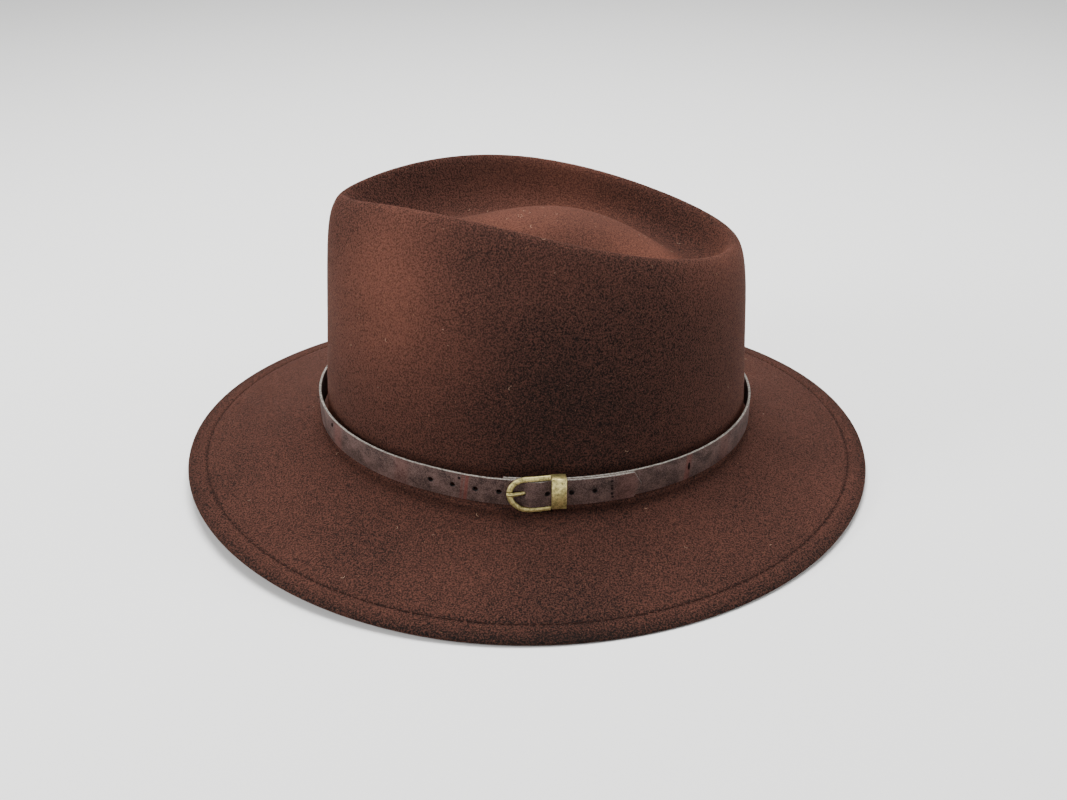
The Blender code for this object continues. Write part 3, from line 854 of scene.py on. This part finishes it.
# %% Punch the holes
HOLE_RADIUS = 1.2 * MM
RIM_RADIUS = 1.4 * MM
RIM_DEPTH = 0.15 * MM
HOLE_STEPS = range(-4, 4)  # counted from the hole that the prong is in
SPARE = 0.5 * MM  # a cutter stands out by this, so that it cuts clean through
CUT_FROM = STRAP_THICKNESS - RIM_DEPTH - SPARE
CUT_TO = STRAP_THICKNESS + SPARE
hole_places = [GIRTH + PRONG_HOLE + step * HOLE_SPACING for step in HOLE_STEPS]
punch(strap, [round_cutter(at, HOLE_RADIUS, HOLE_RADIUS, -SPARE, CUT_TO) for at in hole_places])
widening = (RIM_RADIUS - HOLE_RADIUS) / RIM_DEPTH
wide = RIM_RADIUS + widening * SPARE
narrow = HOLE_RADIUS - widening * SPARE
punch(strap, [round_cutter(at, narrow, wide, CUT_FROM, CUT_TO) for at in hole_places])
print("Holes punched:", len(hole_places))

# %% Cut the prong's slot and mark the walls of the holes
PRONG_SLOT = 2.0 * MM  # width of the slot for the prong, in the layer under the bar
INSIDE_HOLE = 2  # index of the painted shade inside the holes
UPRIGHT = 0.1  # a hole's wall has a normal with less height than this
bpy.ops.mesh.primitive_cube_add(
    size=1,
    location=(BAR_AT, 0, STRAP_THICKNESS / 2),
    scale=(2 * (PAST_HOOK - BAR_AT), PRONG_SLOT, 3 * STRAP_THICKNESS),
)
punch(strap, [bpy.context.object])
for face in strap.data.polygons:
    nearest = min(math.hypot(face.center.x - at, face.center.y) for at in hole_places)
    if nearest < HOLE_RADIUS and abs(face.normal.z) < UPRIGHT:
        face.material_index = INSIDE_HOLE
print("Slot for the prong, mm:", round(2 * (PAST_HOOK - BAR_AT) / MM, 1), "by", PRONG_SLOT / MM)

# %% Bend the strap round the crown
STRAP_SMOOTH_BELOW = math.radians(36)
lay_round_crown(strap, strap_lay)
take(strap)
bpy.ops.object.shade_smooth_by_angle(angle=STRAP_SMOOTH_BELOW)
print("The bent strap's vertices:", len(strap.data.vertices))

# %% [markdown]
# ## Leather
# This leather is dyed through, dark brown with a purple cast, and only waxed, so its
# face is a soft sheen with a fine grain. It is rubbed red in a few places where it was
# folded. On Object coordinates these marks would cut straight across the bend. They
# follow the strap, so they read the flat places that were kept before bending.

# %% Colours and red marks of the leather
DYE_DARK = colour(42, 31, 28)
DYE_LIGHT = colour(98, 76, 71)
DYE_RED = colour(106, 46, 38)
UNDER_HOLE_SHADE = colour(14, 9, 8)  # painted shade on the under layer, where it shows through the holes
RAW_DARK = colour(52, 46, 41)
RAW_LIGHT = colour(162, 155, 146)
# painted shade on the walls of the holes
WALL_SHADE_DARK = colour(8, 5, 5)
WALL_SHADE_LIGHT = colour(26, 18, 17)
GRAIN_SIZE = 0.5 * MM
GRAIN_DEPTH = 0.14 * MM
BLOTCH_SIZE = 7 * MM
MARK_SLANT = 0.12  # the red marks lean by this much
RED_MARKS = (  # middle, half width and strength along the flat strap
    (GIRTH - 39.2 * MM, 1.1 * MM, 0.45),
    (GIRTH - 41.2 * MM, 0.8 * MM, 0.25),
    (GIRTH - 70 * MM, 5 * MM, 0.12),
    (GIRTH - 112 * MM, 5 * MM, 0.2),
    (GIRTH + 30 * MM, 8 * MM, 0.14),
    (62.4 * MM, 2.2 * MM, 0.3),
    (88 * MM, 6 * MM, 0.12),
)
print("Red marks:", len(RED_MARKS))

# %% The strap's finishes
def flat_place(finish):
    """The place that a point had on the flat strap."""
    return finish.node("ShaderNodeAttribute", {"attribute_name": "flat_place"}, {}, "Vector")


def leather_finish():
    leather = Finish("strap_leather", Specular_IOR_Level=0.15)
    flat = flat_place(leather)
    along = leather.node("ShaderNodeSeparateXYZ", {}, {0: flat}, "X")
    across = leather.node("ShaderNodeSeparateXYZ", {}, {0: flat}, "Y")
    grain = leather.noise(flat, GRAIN_SIZE, 3, 0.8)
    blotches = leather.noise(flat, BLOTCH_SIZE, 3, 0.6)
    shade = leather.ramp(blotches * 0.35 + grain * 0.65, (0.42, 0.0), (0.58, 1.0))
    dyed = leather.mix(shade, DYE_DARK, DYE_LIGHT)
    slanted = along - across * MARK_SLANT
    marks = []
    for at, half, level in RED_MARKS:
        marks.append(leather.fade(abs(slanted - at), half * 0.4, half, level))
    worn = sum(marks[1:], marks[0]) * (blotches + grain)
    rubbed = leather.mix(worn, dyed, DYE_RED)
    # Painted shade: the under layer is darkened where the holes of the over layer lie over it.
    over_layer = [at - GIRTH for at in hole_places if at - GIRTH > UNDER_END]
    under_hole_shades = []
    for at in over_layer:
        under_hole_shades.append(leather.patch(flat, (at, 0, STRAP_THICKNESS), 2 * HOLE_RADIUS, 1.0))
    shaded_under_holes = leather.mix(sum(under_hole_shades[1:], under_hole_shades[0]), rubbed, UNDER_HOLE_SHADE)
    leather.paint(Base_Color=shaded_under_holes, Roughness=0.5 + grain * 0.25)
    leather.bump(grain + blotches * 0.5, GRAIN_DEPTH)
    return leather.material


def raw_edge_finish():
    raw = Finish("raw_leather_edge", Roughness=0.85)
    fibres = raw.noise(flat_place(raw), 0.9 * MM, 4, 0.7)
    tone = raw.ramp(fibres, (0.34, 0.0), (0.66, 1.0))
    raw.paint(Base_Color=raw.mix(tone, RAW_DARK, RAW_LIGHT))
    raw.bump(fibres, 0.15 * MM)
    return raw.material


# Painted shade: the holes' walls are coloured near black, a little mottled.
def hole_finish():
    wall_shade_finish = Finish("hole_wall_shade", Roughness=0.9)
    wall_tone = wall_shade_finish.noise(wall_shade_finish.place(), 0.4 * MM, 2)
    wall_shade_finish.paint(Base_Color=wall_shade_finish.mix(wall_tone, WALL_SHADE_DARK, WALL_SHADE_LIGHT))
    return wall_shade_finish.material


# the order gives the indices: the face's finish is 0, RAW_EDGE is 1, INSIDE_HOLE is 2
for material in (leather_finish(), raw_edge_finish(), hole_finish()):
    strap.data.materials.append(material)
finish_piece(strap, None, ["hatband"])

# %% [markdown]
# ## Tack threads
# A row of hand stitches holds the strap's free end down, and three single ones sit
# elsewhere on it. Each is a short dark thread that sinks into the leather, so the same
# stitch serves, laid on the flat strap and bent with it. Laid by hand, they differ in
# length and place, so a short table says where each one is.

# %% Tack threads on the strap
TACK_ROW = 23.2 * MM
TACK_THREAD = 1.3 * MM
TACKS = (  # place along and up the strap, and length
    (TACK_ROW, 3.9 * MM, 1.2 * MM),
    (TACK_ROW, 1.6 * MM, 0.9 * MM),
    (TACK_ROW + 0.1 * MM, 0.1 * MM, 1.5 * MM),
    (TACK_ROW + 0.2 * MM, -2.5 * MM, 1.6 * MM),
    (TACK_ROW + 0.4 * MM, -4.4 * MM, 0.9 * MM),
    (-42.2 * MM, 4.3 * MM, 1.3 * MM),
    (63 * MM, 0.2 * MM, 4.0 * MM),
    (-117 * MM, 3.2 * MM, 2.2 * MM),
)


def lay_tacks():
    """A stitch across the flat strap at each place in the table, joined into one piece."""
    tacks = []
    for along, up, length in TACKS:
        tack = one_stitch("tack", length, TACK_THREAD)
        on_free_end = along < TIP
        place = (along + GIRTH if on_free_end else along, up, STRAP_THICKNESS)
        tack.data.transform(Matrix.Translation(place) @ Matrix.Rotation(math.pi / 2, 4, "Z"))
        tacks.append(tack)
    take(*tacks)
    bpy.ops.object.join()
    return bpy.context.object


tack_thread, _ = thread_finish("tack_thread", 0.3 * MM, colour(10, 7, 7), colour(36, 24, 23))
strap_tacks = lay_tacks()
strap_tacks.name = "strap_tacks"
lay_round_crown(strap_tacks, strap_lay)
finish_piece(strap_tacks, tack_thread.material)

# %% [markdown]
# ## Brass
# The buckle is cast brass, darkened in a bath and rubbed bright again where a thumb
# reaches. Tarnish could be a dull second shader mixed in, but brass stays a metal all
# over. So only its colour and its gloss change, with fine dark pits where the bath has
# stayed in the casting.

# %% The brass finish
BRASS_DARK = colour(64, 56, 26)
BRASS_BRIGHT = colour(226, 212, 144)
TARNISH_SIZE = 1.6 * MM
PIT_SIZE = 0.55 * MM
PIT_DEPTH = 0.07 * MM


def brass_finish():
    brass = Finish("antique_brass", Metallic=1.0)
    place = brass.place()
    tarnish = brass.noise(place, TARNISH_SIZE, 4, 0.6)
    pits = brass.ramp(brass.noise(place, PIT_SIZE, 2, 0.5), (0.27, 0.0), (0.40, 1.0))
    bright = brass.ramp(tarnish, (0.3, 0.25), (0.6, 1.0)) * pits
    brass.paint(
        Base_Color=brass.mix(bright, BRASS_DARK, BRASS_BRIGHT),
        Roughness=0.52 - 0.14 * bright,
    )
    brass.bump(tarnish * 0.4 + pits * 0.6, PIT_DEPTH)
    return brass.material


brass_material = brass_finish()
print("Brass finish nodes:", len(brass_material.node_tree.nodes))

# %% [markdown]
# ## The buckle's frame
# The frame is one bar with flattened sides, bent to a round end with two straight
# arms. A bevelled curve could make it, but its ends and corners are hard to control.
# By hand this is an outline that is extruded along one arm, spun half a turn and
# extruded along the other. Only edges are used, so no faces are left inside, and the
# two open ends are filled last.

# %% The section of the frame's arm
ARM_WIDTH = 2.3 * MM
ARM_THICKNESS = 1.4 * MM
ARM_CORNER = 0.45 * MM
ROUND_END = 8.2 * MM
ARM_REACH = 7.9 * MM  # from the strap's middle to the middle of an arm
ARM_END = KEEPER_LEFT - GAP
FRAME_LEVEL = OVER_LEVEL + STRAP_THICKNESS + GAP + ARM_THICKNESS / 2
ROUND_CENTRE = BUCKLE_LEFT + ARM_WIDTH / 2 + ROUND_END


def arm_section():
    """The outline of an arm, as a loop of edges that stands where the first arm ends."""
    bpy.ops.mesh.primitive_plane_add(size=1, location=(0, 0, 0))
    loop = bpy.context.object
    loop.name = "brass_frame"
    edit(loop)
    bpy.ops.transform.resize(value=(ARM_WIDTH, ARM_THICKNESS, 1))
    bpy.ops.mesh.bevel(offset=ARM_CORNER, segments=3, affect="VERTICES")
    bpy.ops.mesh.delete(type="ONLY_FACE")
    close_edit()
    # the plane's X is across the arm and its Y is out from the crown
    stand = Matrix(((0, 0, 1, 0), (1, 0, 0, 0), (0, 1, 0, 0), (0, 0, 0, 1)))
    loop.data.transform(Matrix.Translation((ARM_END, ARM_REACH, BAR_LEVEL)) @ stand)
    return loop


brass_frame = arm_section()
print("Vertices round the arm:", len(brass_frame.data.vertices))

# %% Extrude and spin the frame
SPIN_STEPS = 40
ARM_STEPS = 6


def sweep_frame(loop):
    """Draws the outline out along one arm, round the end and back along the other."""
    edit(loop)
    along = (ROUND_CENTRE - ARM_END) / ARM_STEPS
    out = (FRAME_LEVEL - BAR_LEVEL) / ARM_STEPS
    centre = (ROUND_CENTRE, 0, FRAME_LEVEL)
    for _ in range(ARM_STEPS):
        bpy.ops.mesh.extrude_edges_move(TRANSFORM_OT_translate={"value": (along, 0, out)})
    bpy.ops.mesh.spin(steps=SPIN_STEPS, angle=-math.pi, center=centre, axis=(0, 0, 1))
    for _ in range(ARM_STEPS):
        bpy.ops.mesh.extrude_edges_move(TRANSFORM_OT_translate={"value": (-along, 0, -out)})
    bpy.ops.mesh.select_all(action="DESELECT")
    bpy.ops.mesh.select_non_manifold(extend=False)
    bpy.ops.mesh.edge_face_add()
    close_edit()


sweep_frame(brass_frame)
reach = [round(v.co.x / MM, 1) for v in brass_frame.data.vertices]
print("Frame from", min(reach), "to", max(reach), "mm, vertices:", len(reach))

# %% Stretch the round end, add the bar and cut the notch
BAR_SIDES = 16
NOTCH_SIDES = 24
NOTCH_DEPTH = 0.6 * MM
NOTCH_RADIUS = 2.0 * MM
BRASS_SMOOTH_BELOW = math.radians(35)


def stretch_round_end(piece):
    """The spun half circle is a little too short, so it is drawn out to its real length."""
    spun = ARM_REACH + ARM_WIDTH / 2
    wanted = ROUND_END + ARM_WIDTH / 2
    for vertex in piece.data.vertices:
        beyond = ROUND_CENTRE - vertex.co.x
        if beyond > 0:
            vertex.co.x = ROUND_CENTRE - beyond * wanted / spun
    edit(piece)
    bpy.ops.mesh.normals_make_consistent(inside=False)
    close_edit()


def add_bar_and_notch(piece):
    """Joins the bar on between the arms, and cuts the notch that the prong lies in."""
    bpy.ops.mesh.primitive_cylinder_add(
        vertices=BAR_SIDES,
        radius=BAR_DIAMETER / 2,
        depth=2 * ARM_REACH,
        location=(BAR_AT, 0, BAR_LEVEL),
        rotation=(math.pi / 2, 0, 0),
    )
    cut(piece, bpy.context.object, "UNION")
    notch_top = FRAME_LEVEL + ARM_THICKNESS / 2
    bpy.ops.mesh.primitive_cylinder_add(
        vertices=NOTCH_SIDES,
        radius=NOTCH_RADIUS,
        depth=3 * ARM_WIDTH,
        location=(BUCKLE_LEFT + ARM_WIDTH / 2, 0, notch_top - NOTCH_DEPTH + NOTCH_RADIUS),
        rotation=(0, math.pi / 2, 0),
    )
    cut(piece, bpy.context.object)
    clean_cuts(piece)


stretch_round_end(brass_frame)
add_bar_and_notch(brass_frame)
lay_round_crown(brass_frame)
take(brass_frame)
bpy.ops.object.shade_smooth_by_angle(angle=BRASS_SMOOTH_BELOW)
finish_piece(brass_frame, brass_material, ["buckle_frame"])

# %% [markdown]
# ## The prong and the keeper
# The prong is a flat finger that hooks round the bar, and the keeper is a loop of
# folded sheet. They could be modelled again, but both solids have their true form
# already, only with hard corners. Subdividing rounds the prong. The keeper keeps its
# flats, so only its edges are bevelled.

# %% Prong and keeper
KEEPER_EDGE = 0.18 * MM
SHARP_FROM = math.radians(40)  # an edge that turns by more than this is a corner
brass_prong = smooth_copy("buckle_prong", "brass_prong", 2)
finish_piece(brass_prong, brass_material, ["buckle_prong"])
brass_keeper = smooth_copy("keeper", "brass_keeper", 0)
rounding = {"width": KEEPER_EDGE, "segments": 2, "limit_method": "ANGLE", "angle_limit": SHARP_FROM}
apply_modifier(brass_keeper, "BEVEL", **rounding)
take(brass_keeper)
bpy.ops.object.shade_smooth_by_angle(angle=SHARP_FROM)
finish_piece(brass_keeper, brass_material, ["keeper"])

# %% [markdown]
# ## Floor
# A hat is shown on pale paper that runs up behind it, so that no line shows between
# floor and wall. The curve could be modelled, but the camera looks down far enough for
# one wide flat sheet to fill the picture.

# %% Floor
FLOOR_SIZE = 30
floor_finish = Finish("pale_floor", Roughness=0.9)
floor_finish.paint(Base_Color=colour(238, 238, 237))
bpy.ops.mesh.primitive_plane_add(size=FLOOR_SIZE, location=(0, 0, 0))
floor = bpy.context.object
floor.name = "floor"
floor.data.materials.append(floor_finish.material)
print("Floor, m:", FLOOR_SIZE)

# %% [markdown]
# ## Light
# Felt has no gloss, so its form shows only by soft shade. Small bare lamps would draw
# hard shadows and make the leather look wet. A studio uses large lit boxes, and an area
# lamp is the same thing. The strongest one hangs overhead, so the crown's wall darkens
# towards the strap. Two weak ones, at the hat's front and back, round the crown's ends,
# and an even pale world opens the shadows.

# %% Light
def soft_light(name, place, aim, size, watts):
    """A square soft box at this place, turned to its aim."""
    lamp = bpy.data.lights.new(name, "AREA")
    lamp.size = size
    lamp.energy = watts
    box = bpy.data.objects.new(name, lamp)
    bpy.context.scene.collection.objects.link(box)
    box.location = place
    box.rotation_euler = (Vector(aim) - Vector(place)).to_track_quat("-Z", "Y").to_euler()


soft_light("top_light", (-0.25, 0.0, 1.25), (0, 0, 0.08), 0.7, 35)
soft_light("front_light", (0.35, -1.1, 0.55), (0, -0.03, 0.08), 0.4, 12)
soft_light("back_light", (0.1, 1.2, 0.5), (0, 0, 0.08), 0.5, 6)
WORLD_GREY = 0.95
WORLD_STRENGTH = 0.48
world = bpy.data.worlds.new("pale_room")
world.use_nodes = True
background = world.node_tree.nodes["Background"]
background.inputs["Color"].default_value = (WORLD_GREY, WORLD_GREY, WORLD_GREY, 1)
background.inputs["Strength"].default_value = WORLD_STRENGTH
bpy.context.scene.world = world
print("Lamps:", len(bpy.data.lights))

# %% [markdown]
# ## Camera
# The hat is seen from its left, a touch to the front and from above. A camera could be
# placed by eye, but a lens that is too wide or too long changes the curve of the brim.
# So its angles, its distance and its lens were fitted to the hat's outline. Here they
# are angles round the hat and above the floor, and a distance from the point aimed at.

# %% Camera
CAMERA_AZIMUTH = math.radians(84.36)
CAMERA_RISE = math.radians(29.6)
CAMERA_DISTANCE = 600 * MM
CAMERA_AIM = Vector((0, 2.17 * MM, 26.57 * MM))
LENS_MM = 40.33
SENSOR_MM = 36
lens = bpy.data.cameras.new("camera")
lens.lens = LENS_MM
lens.sensor_width = SENSOR_MM
lens.clip_start = 0.01
lens.clip_end = 100
camera = bpy.data.objects.new("camera", lens)
bpy.context.scene.collection.objects.link(camera)
back = Vector(
    (
        math.sin(CAMERA_AZIMUTH) * math.cos(CAMERA_RISE),
        -math.cos(CAMERA_AZIMUTH) * math.cos(CAMERA_RISE),
        math.sin(CAMERA_RISE),
    )
)
camera.location = CAMERA_AIM + back * CAMERA_DISTANCE
camera.rotation_euler = (-back).to_track_quat("-Z", "Y").to_euler()
bpy.context.scene.camera = camera
print("Camera at, mm:", [round(part / MM) for part in camera.location])
